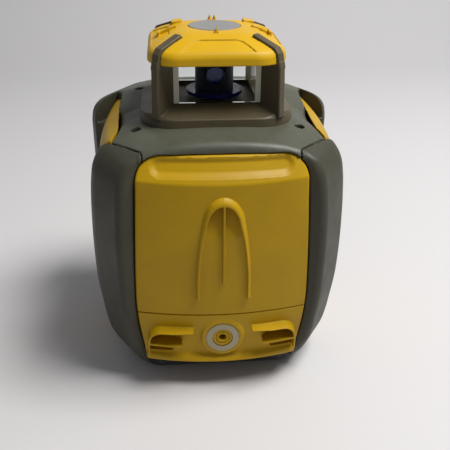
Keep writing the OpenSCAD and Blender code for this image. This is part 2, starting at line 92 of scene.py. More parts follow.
def curve(*points):
    """A smooth curve through (t, value) points, as a function of t."""
    t, v = (np.array(c, float) for c in zip(*points))
    slope = np.gradient(v, t)

    def value(q):
        i = np.clip(np.searchsorted(t, q) - 1, 0, len(t) - 2)
        h = t[i + 1] - t[i]
        u = np.clip((q - t[i]) / h, 0, 1)
        a = v[i] * (1 + 2 * u) + slope[i] * h * u
        b = v[i + 1] * (3 - 2 * u) - slope[i + 1] * h * (1 - u)
        return (1 - u) ** 2 * a + u * u * b

    return value


def disc2(x, y, r):
    return np.hypot(x, y) - r


def rect2(x, y, hx, hy, r):
    """Rounded rectangle of half sizes hx and hy."""
    return rmax(np.abs(x) - hx, np.abs(y) - hy, r)


def slab(t, lo, hi):
    return np.maximum(lo - t, t - hi)


def normals_of(field, p, h=0.12):
    g = np.empty_like(p)
    for i in range(3):
        d = np.zeros(3)
        d[i] = h
        a, b = p + d, p - d
        g[:, i] = field(a[:, 0], a[:, 1], a[:, 2]) - field(b[:, 0], b[:, 1], b[:, 2])
    return g / (2 * h)


def net(field, low, high, size):
    """Quads and points of a field's surface: one point per crossed cell, then moved onto it."""
    axes = [np.arange(lo - size, hi + 2 * size, size) for lo, hi in zip(low, high)]
    f = field(*np.meshgrid(*axes, indexing="ij"))
    inside = f < 0
    cells = tuple(n - 1 for n in f.shape)
    ids, spots, quads = [], [], []
    for a in range(3):
        first = tuple(slice(0, -1) if i == a else slice(None) for i in range(3))
        second = tuple(slice(1, None) if i == a else slice(None) for i in range(3))
        at = np.array(np.nonzero(inside[first] != inside[second]))
        end = at.copy()
        end[a] += 1
        f0, f1 = f[tuple(at)], f[tuple(end)]
        spot = np.array([axes[i][at[i]] for i in range(3)])
        spot[a] += size * f0 / (f0 - f1)
        b, c = [i for i in range(3) if i != a]
        ring = []
        for db, dc in ((1, 1), (0, 1), (0, 0), (1, 0)):
            cell = at.copy()
            cell[b] -= db
            cell[c] -= dc
            ok = (cell >= 0).all(0) & (cell < np.array(cells)[:, None]).all(0)
            flat = np.ravel_multi_index(tuple(np.clip(cell[i], 0, cells[i] - 1) for i in range(3)), cells)
            ids.append(flat[ok])
            spots.append(spot[:, ok])
            ring.append(np.where(ok, flat, -1))
        ring = np.array(ring).T
        ring = np.where((inside[tuple(at)] == (a != 1))[:, None], ring, ring[:, ::-1])
        quads.append(ring[(ring >= 0).all(1)])
    ids, spots, quads = np.concatenate(ids), np.concatenate(spots, 1), np.concatenate(quads)
    used, index = np.unique(ids, return_inverse=True)
    count = np.bincount(index)
    points = np.stack([np.bincount(index, s) / count for s in spots], 1)
    lookup = np.full(int(np.prod(cells)), -1)
    lookup[used] = np.arange(len(used))
    for _ in range(4):
        g = normals_of(field, points)
        value = field(points[:, 0], points[:, 1], points[:, 2])
        move = -(value / np.maximum((g ** 2).sum(1), 0.3))[:, None] * g
        far = np.maximum(np.linalg.norm(move, axis=1, keepdims=True), 1e-9)
        points = points + move * np.minimum(1, 0.35 * size / far)
    return points, lookup[quads], normals_of(field, points)


def moulded(name, field, low, high, size, body, slot, replaced=None, mirror=False):
    """Meshes a field between two corners, and makes it ride on a CAD body in place of a node."""
    points, quads, normals = net(field, low, high, size)
    if mirror:
        points, normals, quads = points * (-1, 1, 1), normals * (-1, 1, 1), quads[:, ::-1]
    mesh = bpy.data.meshes.new(name)
    mesh.from_pydata((points * MM).tolist(), [], quads.tolist())
    mesh.polygons.foreach_set("use_smooth", np.ones(len(quads), bool))
    length = np.maximum(np.linalg.norm(normals, axis=1, keepdims=True), 1e-9)
    mesh.normals_split_custom_set_from_vertices((normals / length).tolist())
    piece = bpy.data.objects.new(name, mesh)
    bpy.context.scene.collection.objects.link(piece)
    piece.data.materials.append(material(slot))
    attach(piece, body)
    if replaced:
        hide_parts(replaced)
    return piece


# ---------------------------------------------------------------- materials
def new_node(tree, kind, **sockets):
    node = tree.nodes.new(kind)
    for key, value in sockets.items():
        node.inputs[key.replace("_", " ")].default_value = value
    return node


class Finish:
    """What a material looks like: colour and its variation, roughness, grain, scratches, dust."""

    def __init__(self, color, rough, grain=0.0, grain_size=0.4, vary=0.08, metal=0.0, **extra):
        self.color, self.rough, self.grain, self.grain_size = color, rough, grain, grain_size
        self.vary, self.metal, self.extra = vary, metal, extra


FINISHES = {
    # yellow_shell and cap_yellow are one yellow plastic in two tones: the lighter cap_yellow is painted light
    # for the lit top, and the darker yellow_shell is painted shade for the shaded rear panel
    "yellow_shell": Finish((0.44, 0.262, 0.002), 0.42, 0.10, 0.5, 0.06, dust=0.006, scratch=0.5, spec=0.22),
    "cap_yellow": Finish((0.57, 0.335, 0.003), 0.42, 0.03, 0.6, 0.06, dust=0.006, scratch=0.4, spec=0.25),
    "olive_shell": Finish((0.072, 0.075, 0.053), 0.44, 0.14, 0.5, 0.08, dust=0.02, scratch=0.3, spec=0.35),
    "bumper_rubber": Finish((0.052, 0.050, 0.034), 0.48, 0.16, 0.55, 0.08, dust=0.01, scratch=0.3, spec=0.25),
    "lighthouse_shell": Finish((0.082, 0.066, 0.036), 0.42, 0.14, 0.5, 0.08, dust=0.01,
                               scratch=0.2, spec=0.3),
    "base_plastic": Finish((0.030, 0.030, 0.026), 0.55, 0.2, 0.6, 0.1, dust=0.05),
    # the dark grey is the steel's own; its yellow tint is a painted reflection of the yellow plastic around
    # it
    "insert_steel": Finish((0.30, 0.27, 0.18), 0.36, 0.06, 0.25, 0.1, 1.0, dust=0.02, scratch=0.5),
    "screw_steel": Finish((0.30, 0.30, 0.29), 0.38, 0.05, 0.3, 0.1, 1.0),
    "foot_rubber": Finish((0.02, 0.02, 0.02), 0.75, 0.3, 0.4, 0.15, dust=0.08),
    "disc_grey": Finish((0.21, 0.21, 0.206), 0.40, 0.04, 0.3, 0.05, dust=0.03, scratch=0.5, spec=0.3),
    "window_glass": Finish((0.97, 0.99, 0.98), 0.0, 0.0, 0.5, 0.01, glass=1.0, ior=1.06),
    "strip_cream": Finish((0.60, 0.60, 0.47), 0.35, 0.05, 0.4, 0.1, dust=0.06),
    "chassis_metal": Finish((0.42, 0.43, 0.44), 0.50, 0.35, 0.8, 0.1, 1.0, dust=0.03),
    "board_green": Finish((0.02, 0.13, 0.05), 0.35, 0.1, 0.9, 0.25),
    "display_grey": Finish((0.30, 0.36, 0.26), 0.30, 0.02, 0.4, 0.06),
    "display_glass": Finish((0.30, 0.33, 0.35), 0.06, 0.0, 0.5, 0.03, glass=0.85, scratch=0.3),
    "light_red": Finish((0.45, 0.03, 0.02), 0.20, 0.02, 0.3, 0.1),
    "tray_black": Finish((0.022, 0.022, 0.022), 0.55, 0.2, 0.6, 0.1),
    "cell_metal": Finish((0.26, 0.27, 0.30), 0.28, 0.03, 0.4, 0.1, 0.8),
    "spring_steel": Finish((0.62, 0.61, 0.58), 0.25, 0.03, 0.3, 0.1, 1.0),
    "jack_black": Finish((0.015, 0.015, 0.015), 0.35, 0.05, 0.4, 0.1),
    "jack_rubber": Finish((0.025, 0.025, 0.024), 0.65, 0.2, 0.35, 0.12, dust=0.06),
    "motor_dark": Finish((0.05, 0.055, 0.06), 0.40, 0.15, 0.4, 0.1, 0.4),
    "lock_olive": Finish((0.10, 0.10, 0.078), 0.45, 0.14, 0.45, 0.08, dust=0.04),
    "key_rubber": Finish((0.055, 0.055, 0.045), 0.58, 0.18, 0.3, 0.1, dust=0.05),
    "gimbal_metal": Finish((0.58, 0.59, 0.60), 0.32, 0.08, 0.25, 0.08, 1.0),
    "barrel_metal": Finish((0.16, 0.17, 0.19), 0.40, 0.10, 0.3, 0.08, 0.9),
    "module_brass": Finish((0.60, 0.42, 0.16), 0.28, 0.05, 0.25, 0.08, 1.0),
    "lens_glass": Finish((0.75, 0.88, 0.98), 0.02, 0.0, 0.5, 0.02, glass=1.0),
    "copper_stator": Finish((0.42, 0.15, 0.06), 0.30, 0.6, 0.5, 0.2, 0.7),
    "bearing_steel": Finish((0.68, 0.68, 0.68), 0.14, 0.02, 0.25, 0.05, 1.0),
    "sensor_green": Finish((0.40, 0.60, 0.10), 0.12, 0.02, 0.5, 0.08),
    "rotor_black": Finish((0.003, 0.004, 0.010), 0.35, 0.04, 0.4, 0.2, spec=0.08),
    # the disc is near black; its blue is a painted reflection of the coated windows
    "encoder_blue": Finish((0.003, 0.006, 0.10), 0.25, 0.02, 0.4, 0.2, spec=0.25),
    "prism_glass": Finish((0.10, 0.22, 0.85), 0.03, 0.0, 0.4, 0.05, glass=0.75),
    "nut_brass": Finish((0.62, 0.45, 0.18), 0.30, 0.05, 0.25, 0.08, 1.0),
}
_made = {}


def material(slot):
    if slot in _made:
        return _made[slot]
    look = FINISHES[slot]
    mat = bpy.data.materials.new(slot)
    mat.use_nodes = True
    tree = mat.node_tree
    links = tree.links
    shader = tree.nodes["Principled BSDF"]
    place = tree.nodes.new("ShaderNodeTexCoord")
    # broad mottling of the colour
    cloud = new_node(tree, "ShaderNodeTexNoise", Scale=28.0, Detail=5.0, Roughness=0.6)
    links.new(place.outputs["Object"], cloud.inputs["Vector"])
    ramp = tree.nodes.new("ShaderNodeValToRGB")
    dark = [c * (1 - look.vary) for c in look.color]
    light = [min(1.0, c * (1 + look.vary)) for c in look.color]
    ramp.color_ramp.elements[0].position = 0.32
    ramp.color_ramp.elements[0].color = (*dark, 1)
    ramp.color_ramp.elements[1].position = 0.68
    ramp.color_ramp.elements[1].color = (*light, 1)
    links.new(cloud.outputs["Fac"], ramp.inputs["Fac"])
    color = ramp.outputs["Color"]
    # dust in soft patches
    if look.extra.get("dust"):
        specks = new_node(tree, "ShaderNodeTexNoise", Scale=160.0, Detail=6.0, Roughness=0.7)
        links.new(place.outputs["Object"], specks.inputs["Vector"])
        patch = tree.nodes.new("ShaderNodeMapRange")
        patch.inputs["From Min"].default_value = 0.50
        patch.inputs["From Max"].default_value = 0.80
        patch.inputs["To Max"].default_value = look.extra["dust"] * 3
        links.new(specks.outputs["Fac"], patch.inputs["Value"])
        mix = tree.nodes.new("ShaderNodeMix")
        mix.data_type = "RGBA"
        mix.inputs[7].default_value = (0.42, 0.40, 0.36, 1)
        links.new(patch.outputs["Result"], mix.inputs[0])
        links.new(color, mix.inputs[6])
        color = mix.outputs[2]
    links.new(color, shader.inputs["Base Color"])
    # roughness: smudges, and fine scratches
    smudge = new_node(tree, "ShaderNodeTexNoise", Scale=55.0, Detail=4.0)
    links.new(place.outputs["Object"], smudge.inputs["Vector"])
    spread = tree.nodes.new("ShaderNodeMapRange")
    spread.inputs["From Min"].default_value = 0.3
    spread.inputs["From Max"].default_value = 0.7
    spread.inputs["To Min"].default_value = max(0.0, look.rough - 0.05)
    spread.inputs["To Max"].default_value = min(1.0, look.rough * 1.15 + 0.01)
    links.new(smudge.outputs["Fac"], spread.inputs["Value"])
    links.new(spread.outputs["Result"], shader.inputs["Roughness"])
    shader.inputs["Metallic"].default_value = look.metal
    if "spec" in look.extra:
        shader.inputs["Specular IOR Level"].default_value = look.extra["spec"]
    if look.extra.get("glass"):
        shader.inputs["Transmission Weight"].default_value = look.extra["glass"]
        shader.inputs["IOR"].default_value = look.extra.get("ior", 1.45)
    height = None
    if look.grain:
        grain = new_node(tree, "ShaderNodeTexNoise", Scale=1 / (look.grain_size * MM), Detail=3.0)
        links.new(place.outputs["Object"], grain.inputs["Vector"])
        bump = tree.nodes.new("ShaderNodeBump")
        bump.inputs["Strength"].default_value = look.grain
        bump.inputs["Distance"].default_value = 0.12 * MM
        links.new(grain.outputs["Fac"], bump.inputs["Height"])
        height = bump.outputs["Normal"]
    if look.extra.get("scratch"):
        stretch = tree.nodes.new("ShaderNodeMapping")
        stretch.inputs["Rotation"].default_value = (0.5, 0.9, 0.4)
        stretch.inputs["Scale"].default_value = (1.0, 18.0, 1.0)
        links.new(place.outputs["Object"], stretch.inputs["Vector"])
        lines = new_node(tree, "ShaderNodeTexNoise", Scale=90.0, Detail=2.0, Distortion=0.6)
        links.new(stretch.outputs["Vector"], lines.inputs["Vector"])
        thin = tree.nodes.new("ShaderNodeMapRange")
        thin.inputs["From Min"].default_value = 0.70
        thin.inputs["From Max"].default_value = 0.76
        links.new(lines.outputs["Fac"], thin.inputs["Value"])
        groove = tree.nodes.new("ShaderNodeBump")
        groove.invert = True
        groove.inputs["Strength"].default_value = 0.25 * look.extra["scratch"]
        groove.inputs["Distance"].default_value = 0.03 * MM
        links.new(thin.outputs["Result"], groove.inputs["Height"])
        if height:
            links.new(height, groove.inputs["Normal"])
        height = groove.outputs["Normal"]
    if height:
        links.new(height, shader.inputs["Normal"])
    _made[slot] = mat
    return mat


# ---------------------------------------------------------------- outer form shared by the shells
rear_width = curve(
    (0, 74), (5, 77), (12, 84), (28, 91.8), (45, 95), (60, 96.6), (83, 98.7), (105, 99.2),
    (130, 99), (155, 98.1), (170, 96.9), (182, 94.9), (188, 92.4), (194, 88.2), (199, 82.5),
    (204, 75.5), (216, 56))
front_width = curve(
    (0, 79), (5, 82), (12, 89), (28, 96.5), (60, 101.8), (100, 104.2), (150, 104.4),
    (170, 104.4), (186, 104), (192, 102.8), (196, 101), (200, 97.9), (204, 92.8), (208, 85.2),
    (211, 76.5), (220, 46))
corner_depth = curve(
    (0, 68), (5, 71), (12, 77), (28, 84), (60, 89.5), (100, 92.3), (150, 92), (176, 90.2),
    (182, 89), (188, 87.4), (194, 85), (199, 81.8), (204, 76.5), (216, 62))
inner_depth = curve(
    (0, 68), (5, 71), (12, 77), (28, 84), (60, 89.5), (100, 92.3), (150, 92), (176, 90.5),
    (190, 88.5), (216, 87))
inner_crest = curve(
    (0, 51), (12, 61), (28, 68.5), (60, 73), (100, 75.4), (155, 74.2), (182, 71.5), (216, 71))
face_profile = curve(
    (5, 88.4), (21, 91), (48, 94.6), (72, 97.4), (100, 98.3), (130, 98.4), (155, 97.8),
    (178, 96.3), (206, 94))
face_sag = curve((0, 7.8), (100, 7.8), (165, 7.6), (206, 7))
panel_half = curve(
    (0, 57.5), (23, 60), (43, 62.7), (62, 65), (80, 66), (105, 65.5), (140, 64), (172, 62.3),
    (206, 61.2))


def lean(fn, t):
    """Length of a curve's step for each millimetre of t, to keep a field's scale even."""
    return np.hypot(1, fn(t + 0.5) - fn(t - 0.5))


def top_height(x, y):
    u, v = np.abs(x) / 80, np.abs(y) / 82
    rise = step(0, 50, y)
    return 207.5 + 4 * rise - (2 + 0.6 * rise) * u ** 4 - 1.5 * v ** 4 - (11 - 8 * rise) * (u * v) ** 2


def outer(x, y, z):
    """The whole housing without its panels: bumpers and top cover share this skin."""
    ax, ay = np.abs(x), np.abs(y)
    front = step(-25, 25, y)
    w = rear_width(z) * (1 - front) + front_width(z) * front
    even = lean(rear_width, z) * (1 - front) + lean(front_width, z) * front
    facet = (0.843 * (ax - w + CREST_IN) + 0.539 * (ay - corner_depth(z))) / even
    inner = -0.38 * (np.maximum(ax, 60) - inner_crest(z)) + 0.925 * (ay - inner_depth(z))
    side = rmax(ax - w, 0.95 * (ax - w) + 0.31 * (50 - ay), 2.5) / even
    walls = rmax(rmax(facet, inner, 5), side, 5)
    return rmax(walls, z - top_height(x, y), 5.5)


notch_half = curve(
    (-60, 81.5), (-53, 79.4), (-47, 77), (-40, 75), (-34, 74.5), (-20, 75), (0, 75.8),
    (20, 76), (34, 75.6), (42, 75.9), (48, 77.8), (53, 80.4), (60, 84))


def cover_edge(x, y):
    """Plan of the top cover: negative inside its seams with the bumpers."""
    ax, ay = np.abs(x), np.abs(y)
    bend = 56.2 + step(-10, 40, y)
    seam_line = 0.743 * (ax - bend) + 0.670 * (ay - 78.6)
    return rmin(seam_line, ax - bend, 2)


def cover_notch(x, y):
    return np.abs(x) - notch_half(y)


def panel_edge(x, z):
    return rmax(np.abs(x) - panel_half(z), z - PANEL_TOP, 18)


def rear_skin(x, y, z):
    face = -y - (face_profile(z) - face_sag(z) * (x / 62) ** 2)
    bevel = -0.84 * (y + 96.1) + 0.54 * (z - 180.3) + 5.3 * (x / 62) ** 2
    return rmax(face, bevel, 0.5)


def front_skin(x, y, z):
    bottom = 0.83 * (y - 84.5) - 0.56 * (z - 12)
    top = 0.75 * (y - 84.5) + 0.66 * (z - 197)
    face = y - (FRONT_Y - 7.8 * (x / 62) ** 2)
    return rmax(rmax(face, top, 8), bottom, 8)


def bumper(front):
    sign = 1 if front else -1

    def field(x, y, z):
        body = rmax(outer(x, y, z), 5 - z, 4)
        body = rmax(body, SIDE_HALF + GAP - sign * y, 1.5)
        body = rmax(body, -(panel_edge(x, z) - GAP), 1.2)
        above = np.maximum(cover_edge(x, y) - GAP, 183.5 - z)
        body = rmax(body, -above, 0.7)
        inside = np.maximum(outer(x, y, z) + 4, SIDE_HALF + GAP + WALL - sign * y)
        inside = np.maximum(inside, -np.maximum(cover_edge(x, y) - GAP - WALL, 180.5 - z))
        body = np.maximum(body, -inside)
        return rmax(body, -np.maximum(rect2(x, y, 74, 72, 18), z - 13.5), 0.6)

    return field


def top_cover(x, y, z):
    skin = outer(x, y, z)
    body = rmax(skin, cover_notch(x, y), 3.0)
    body = rmax(body, cover_edge(x, y) + GAP, 0.7)
    window = np.maximum(panel_edge(x, z) - GAP, 76 - np.abs(y))
    body = rmax(body, -window, 0.8)
    body = rmax(body, 184 - z, 0.5)
    body = np.maximum(body, -np.maximum(skin + WALL, cover_notch(x, y) + WALL))
    sx, sy = np.abs(x) - SCREWS[0], np.abs(y) - SCREWS[1]
    tower = np.maximum(disc2(sx, sy, 6), np.maximum(190 - z, skin + 1))
    body = rmin(body, tower, 1)
    body = rmax(body, -np.maximum(disc2(sx, sy, 3.6), 193 - z), 0.9)
    seat = rect2(x, y, FLANGE[0] - 3, FLANGE[1] - 3, 27)
    return np.maximum(body, -seat)


# ---------------------------------------------------------------- rear panels
# right half of the ridge, apex first: where its roof starts, and the rim of the hood and legs
RIDGE_OUTLINE = (
    (0, 171.6), (2.5, 171.3), (5, 170.4), (9, 167.7), (11.8, 163.9), (13.8, 159.2), (15.6, 152),
    (17.1, 143), (19.4, 124), (20.5, 108), (20.9, 88), (20.9, 70))
RIDGE_RIM = (
    (0, 166.2), (2.3, 166), (4.5, 165.2), (8, 162.1), (10.2, 158.6), (12.5, 150), (14.7, 141),
    (17.3, 124), (18.5, 110), (18.9, 88), (18.9, 70))
RIDGE_SHARE = 0.85     # part of its full height that the ridge is given, to stay behind the rests


def arch(x, z, points):
    """Distance to an arch, from the points of its right half: negative under it."""
    px, pz = (np.array(c, float) for c in zip(*points))
    run = np.concatenate(([0], np.cumsum(np.hypot(np.diff(px), np.diff(pz)))))
    spots = np.linspace(0, run[-1], 33)
    px, pz = curve(*zip(run, px))(spots), curve(*zip(run, pz))(spots)
    ax, gap = np.abs(x), 1e9
    for i in range(len(spots) - 1):
        ex, ez = px[i + 1] - px[i], pz[i + 1] - pz[i]
        t = np.clip(((ax - px[i]) * ex + (z - pz[i]) * ez) / (ex * ex + ez * ez), 0, 1)
        gap = np.minimum(gap, np.hypot(ax - px[i] - t * ex, z - pz[i] - t * ez))
    inside = (ax < np.interp(z, pz[::-1], px[::-1])) & (z < pz[0])
    return np.where(inside, -gap, gap)


def ridge_height(x, z, skin_y):
    """How far the hooded rest ridge stands out of the panel, or is sunk into it."""
    tall = REST_Y - 0.15 - skin_y
    outline = arch(x, z, RIDGE_OUTLINE)
    rim = arch(x, z, RIDGE_RIM)
    share = np.clip(-outline / np.maximum(rim - outline, 0.8), 0, 1)
    raised = tall * (1 - (1 - share) ** 2) * step(RIDGE_FOOT - 2.5, RIDGE_FOOT + 0.5, z)
    under = step(0.3, 1.3, -rim)
    sink = 6.5 * np.clip((z - 140) / 24, 0, 1) ** 1.2
    middle = step(1.35, 0.75, np.abs(x - 0.3)) * step(99.5, 103, z)
    return raised * (1 - under) + under * (tall * middle - sink * (1 - middle))


def rear_panel(x, y, z):
    skin_y = face_profile(z) - face_sag(z) * (x / 62) ** 2
    # label dish on the bevel
    dish = rect2(x, (z - 190.4) * 1.17, 51.5, 7.8, 7.8)
    skin = rear_skin(x, y, z) + 1.7 * step(0, 5, -dish) + 0.25 * step(0, 0.6, -dish)
    skin = skin - ridge_height(x, z, skin_y) * RIDGE_SHARE
    out = rmax(skin, panel_edge(x, z) + GAP, 1.3)
    out = rmax(out, SPLIT_Z + GAP - z, 0.8)
    thick = WALL + 6.5 * step(22, 14, np.abs(x)) * step(130, 145, z) + 2.5 * step(172, 178, z)
    return np.maximum(out, -(rear_skin(x, y, z) + thick))


def rear_lower_panel(x, y, z):
    skin = rear_skin(x, y, z)
    ax = np.abs(x)
    out = rmax(skin, panel_edge(x, z) + GAP, 1.3)
    # lip that stands out along the bottom edge
    lip = rmax(skin - 6.0 + 2.8 * (ax / 60) ** 2, 0.75 * (z - 33) + 0.66 * skin, 1.6)
    out = rmin(out, rmax(lip, panel_edge(x, z) + GAP, 1.5), 1.5)
    out = rmax(out, z - SPLIT_Z + GAP, 0.8)
    # boss of the thread, running down into the lip
    boss = rmax(disc2(x, z - THREAD_Z, 16.8), -y - 97.2, 1.6)
    boss = np.maximum(boss, -skin - 4)
    out = rmin(out, boss, 1.6)
    # finned rests: a bent upper fin that joins a straight lower one, with deep slots between
    reach = np.maximum(-y - REST_Y + 0.1, skin - 8.5)
    shell = rmax(ax - 58.3, z - 59.6 + 0.18 * np.maximum(skin, 0), 11)
    slot_1 = rmax(rmax(ax - 56.4, z - 57.4, 9.6), 46.4 - 0.03 * (57 - ax) - z, 0.4)
    slot_2 = np.maximum(slab(z, 34.0, 44.7 - 0.03 * (57 - ax)), ax - 57.2)
    fins = np.maximum(shell, np.maximum(34.0 - z, 22.6 + 0.3 * (59 - z) - ax))
    fins = rmax(fins, reach, 0.4)
    fins = np.maximum(fins, np.where(z < 47, 31 + 1.1 * (46 - z) - ax, -5))
    fins = np.maximum(fins, -skin - 2.5)
    out = rmin(out, fins, 0.7)
    floor = -(skin + 5.5 * step(0, 9, ax - 31))
    for slot, inner in ((slot_1, 18 - ax), (slot_2, 33 + 0.9 * (42 - z) - ax)):
        out = np.maximum(out, -np.maximum(np.maximum(slot, inner), floor))
    # underside turns in below the lip
    out = rmax(out, 0.9 * (24.5 - z) + 0.43 * (skin - 2), 1.2)
    backing = WALL + 6 * step(27, 30, ax) * step(29, 32, z) * step(61, 58, z)
    out = np.maximum(out, -(skin + np.where(disc2(x, z - THREAD_Z, 17) < 0, 15, backing)))
    return np.maximum(out, -np.maximum(disc2(x, z - THREAD_Z, INSERT_R), -y - 120))


def thread_plug(x, y, z):
    """Dust plug with a ring groove and a centre hole, sitting in the rear thread."""
    r = np.hypot(x, z - THREAD_Z)
    groove = 0.8 * step(4.3, 4.9, r) * step(6.2, 5.6, r) + 1.3 * step(3.3, 2.6, r)
    out = rmax(r - 7.85, -y - 97.1 + groove, 0.5)
    out = rmax(out, 2.8 - r, 0.5)
    return np.maximum(out, y + 88)


side_line = curve(
    (10, 83.2), (30, 86.5), (45, 88.1), (80, 91), (120, 93), (160, 93.4), (178, 92.4),
    (187, 90.4), (193, 87.6), (198, 83.6), (202, 78.5), (208, 69))


def side_panel(x, y, z):
    skin = (x - side_line(z) + 1.5 * (y / SIDE_HALF) ** 2) / lean(side_line, z)
    out = rmax(skin, 0.90 * (z - 201.5) + 0.42 * (x - 76), 1.5)
    edge = rmax(np.abs(y) - SIDE_HALF + GAP, 13.5 - z, 3)
    # the top spreads into the flared ends of the cover's notch
    edge = np.minimum(edge, np.maximum(184 - z, cover_edge(x, y) + GAP))
    out = rmax(out, edge, 1.0)
    out = np.maximum(out, np.where(z > 183, GAP - cover_notch(x, y), -1))
    return np.maximum(out, -(skin + WALL))


def side_panel_right(x, y, z):
    pocket = np.maximum(rect2(y - 19, z - 190, 7, 1.5, 1.4), 84 - x)
    return rmax(side_panel(x, y, z), -pocket, 0.4)


def side_panel_left(x, y, z):
    """Built on the +X side and mirrored: it carries the seat of the charging socket."""
    seat = rmax(disc2(y, z - JACK_Z, 10), x - 89.3, 0.8)
    seat = np.maximum(seat, 80 - x)
    out = rmin(side_panel(x, y, z), seat, 1)
    from_pin = x - FLAP_PIN[0], y - FLAP_PIN[1]
    for low in (37.0, 49.4):
        plan = rmin(disc2(*from_pin, 1.9), rect2(x - 88.4, y - 12.2, 2.4, 1.3, 0.3), 0.4)
        ear = rmax(plan, slab(z, low, low + 3.6), 0.3)
        out = np.minimum(out, np.maximum(ear, -disc2(*from_pin, 0.87)))
    return np.maximum(out, -disc2(y, z - JACK_Z, 6.2))


# ---------------------------------------------------------------- lighthouse
def post_out(z):
    return np.interp(z, (200, 213, 249, 259, 262.4, 269), (66.3, 66.3, 65.2, 63.0, 60.5, 41))


def lighthouse(x, y, z):
    ax, ay = np.abs(x), np.abs(y)
    flange = rmax(rect2(x, y, FLANGE[0], FLANGE[1], 30) + 0.14 * (z - 207), slab(z, 205.5, FLANGE_TOP), 0.9)
    slope_x = 0.267 * (ax - 56.3) + 0.964 * (z - FLANGE_TOP)
    slope_y = 0.349 * (ay - 50.3) + 0.937 * (z - FLANGE_TOP)
    sill = rmax(rmax(slope_x, slope_y, 1.5), z - SILL_Z - 0.2, 0.6)
    sill = rmax(sill, rect2(x, y, FLANGE[0] - 1.4, FLANGE[1] - 1.4, 29), 0.7)
    out = rmin(flange, np.maximum(sill, 208 - z), 0.4)
    # wings: thin at the window corner, wider at the outer edge
    p, q = (ax + ay) * math.sqrt(0.5), np.abs(ax - ay) * math.sqrt(0.5)
    width = 0.7 + 0.145 * np.clip(p - 46, 0, 20)
    wing = rmax(q - width, p - post_out(z), 1.3)
    wing = np.maximum(wing, 46.2 - p)
    wing = np.maximum(wing, slab(z, 212, CAP_Z + 1.5))
    out = rmin(out, wing, 1.0)
    # arms that run over the corners of the cap
    lift = np.interp(p, (38, 57, 61.5, 66), (266.8, 259.2, 250, 240))
    over = 0.94 * (z - np.interp(p, (30, 39.2, 59.6, 63.6), (272.6, 269.6, 263.0, 258)))
    arm = rmax(q - 3.5, np.maximum(over, p - post_out(z)), 1.2)
    arm = rmax(arm, 39.2 - p, 0.8)
    arm = np.maximum(arm, np.maximum(lift - z, CAP_Z - 3 - z))
    out = rmin(out, arm, 0.8)
    out = np.maximum(out, -np.maximum(rect2(x, y, 30.6, 30.6, 1), slab(z, 216.2, 225)))
    out = np.maximum(out, -np.maximum(rect2(x, y, 40, 38, 10), z - 214))
    return np.maximum(out, -np.maximum(disc2(x, y, 14), slab(z, 190, 230)))


cap_height = curve(
    (0, 270.2), (14, 270.2), (21, 270.0), (27, 269.0), (34, 266.9), (40, 264.7), (46, 262.0),
    (49, 260.3), (52, 258.2), (70, 247))


def sun_cap(x, y, z):
    ax, ay = np.abs(x), np.abs(y)
    m = (ax ** 5 + ay ** 5 + 1e-6) ** 0.2
    side = CAP_HALF - 0.06 * (z - CAP_Z)
    rim = rect2(x, y, side, side, 23.5)
    roof = 0.93 * (z - cap_height(m))
    out = rmax(rim, roof, 3.0)
    out = rmax(out, CAP_Z - z, 0.8)
    # shallow pocket on each slope, open towards the rim
    for across, down in ((ax, ay), (ay, ax)):
        reach = rmax(34.3 - down, (across - 16.5 - 0.75 * (down - 34.3)) * 0.8, 4)
        pocket = np.maximum(np.maximum(reach, down - 47.5), -(roof + 0.9))
        out = rmax(out, -pocket, 0.35)
    out = np.maximum(out, -np.maximum(disc2(x, y, 20.1), 267.8 - z))
    # sights: a spike behind, twin peaks in front, a stepped bar on each side, a pad by each front arm
    deep = slab(-y, 21.5, 26.5) + 0.25 * np.maximum(z - 269, 0)
    near = np.maximum(ax - 0.25 - 0.5 * (SIGHT_Z - 0.9 - z), deep)
    far = np.maximum(slab(y, 22.5, 27), np.abs(ax - 1.9) - 0.15 - 0.36 * (SIGHT_Z - 0.1 - z))
    bars = np.maximum(rect2(ax - 36, y, 7.5, 1.3, 0.3), z - cap_height(m) - 1.8)
    bars = np.minimum(bars, np.maximum(rect2(ax - 42.5, y, 1.3, 4.6, 0.3), z - cap_height(m) - 2.6))
    pads = np.maximum(rect2(ax - 28.0, y - 19.5, 4.2, 5.2, 0.8), z - 271.0 + 0.12 * (ax - 24))
    for mark in (near, far, bars, pads):
        out = rmin(out, np.maximum(mark, 258 - z), 0.35)
    # clearance round the arms
    p, q = (ax + ay) * math.sqrt(0.5), np.abs(ax - ay) * math.sqrt(0.5)
    lift = np.interp(p, (38, 57, 61.5, 66), (266.4, 258.8, 249, 239))
    slot = np.maximum(np.maximum(q - 3.8, 38.8 - p), lift - z)
    out = np.maximum(out, -slot)
    return np.maximum(out, -np.maximum(out + 2.4, 253.5 - z))


def cap_disc(x, y, z):
    r = np.hypot(x, y)
    return rmax(r - 19.8, np.maximum(z - 270.5, 267.8 - z), 0.5)


# ---------------------------------------------------------------- control side
KEY_NAMES = ("key_power", "key_left", "key_up", "key_down", "key_right", "key_mode")
KEY_PITCH, KEY_Z, KEY_SIZE = 17.0, 124.0, (6.0, 5.0)
LIGHTS_Z = 143.0
DISPLAY_Z = 166.0
DOOR_Z = 66.0                # middle of the battery door
DOOR = (47.0, 27.5, 104.5)   # half width, bottom and top of the battery door
HINGE = (-50.5, 89.5)
LOCK = (41.5, 66.0)


def key_centre(i):
    return (i - 2.5) * KEY_PITCH


